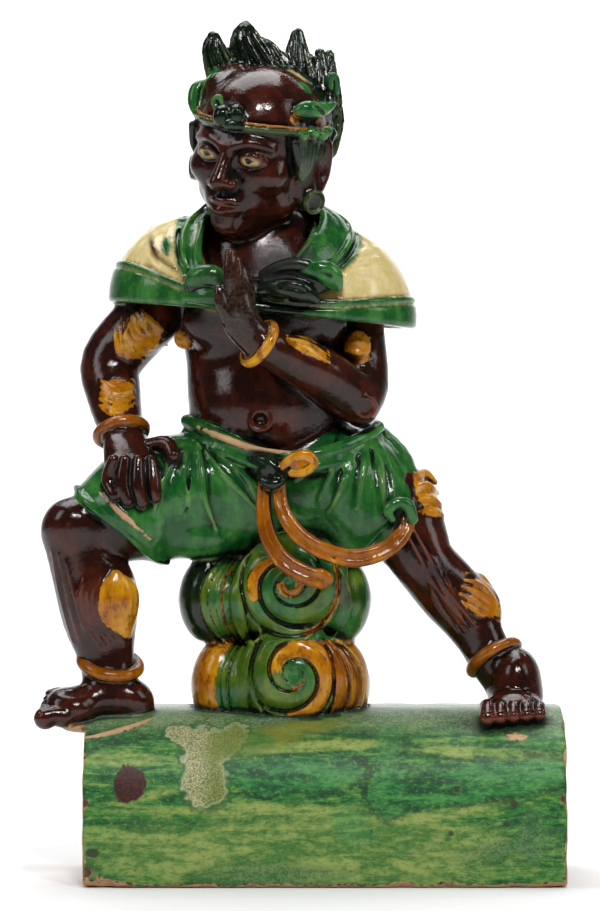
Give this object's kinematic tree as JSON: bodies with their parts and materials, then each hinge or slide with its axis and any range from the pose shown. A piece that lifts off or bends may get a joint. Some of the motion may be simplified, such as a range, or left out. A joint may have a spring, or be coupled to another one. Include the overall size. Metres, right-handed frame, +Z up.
{
  "type": "roof ridge figure",
  "caption": "Sancai-glazed ceramic roof ridge figure: a wild-haired guardian in cape and loincloth astride a scrolling cloud, on an open ridge tile.",
  "frame": {"origin": "on the ground, under the middle of the work's bounding box", "axes": "+Z up, -Y the way the figure's body faces, +X towards the figure's left, along the ridge"},
  "size_m": [0.2401, 0.13, 0.3956],
  "materials": {
    "sancai_glaze": "thick glossy lead glazes in emerald green, amber, aubergine brown and cream over a buff clay body, pooled dark in the hollows, with bare clay at the chipped tile edges"
  },
  "bodies": {
    "root": {"ridge_figure": "sancai_glaze"}
  },
  "joints": []
}
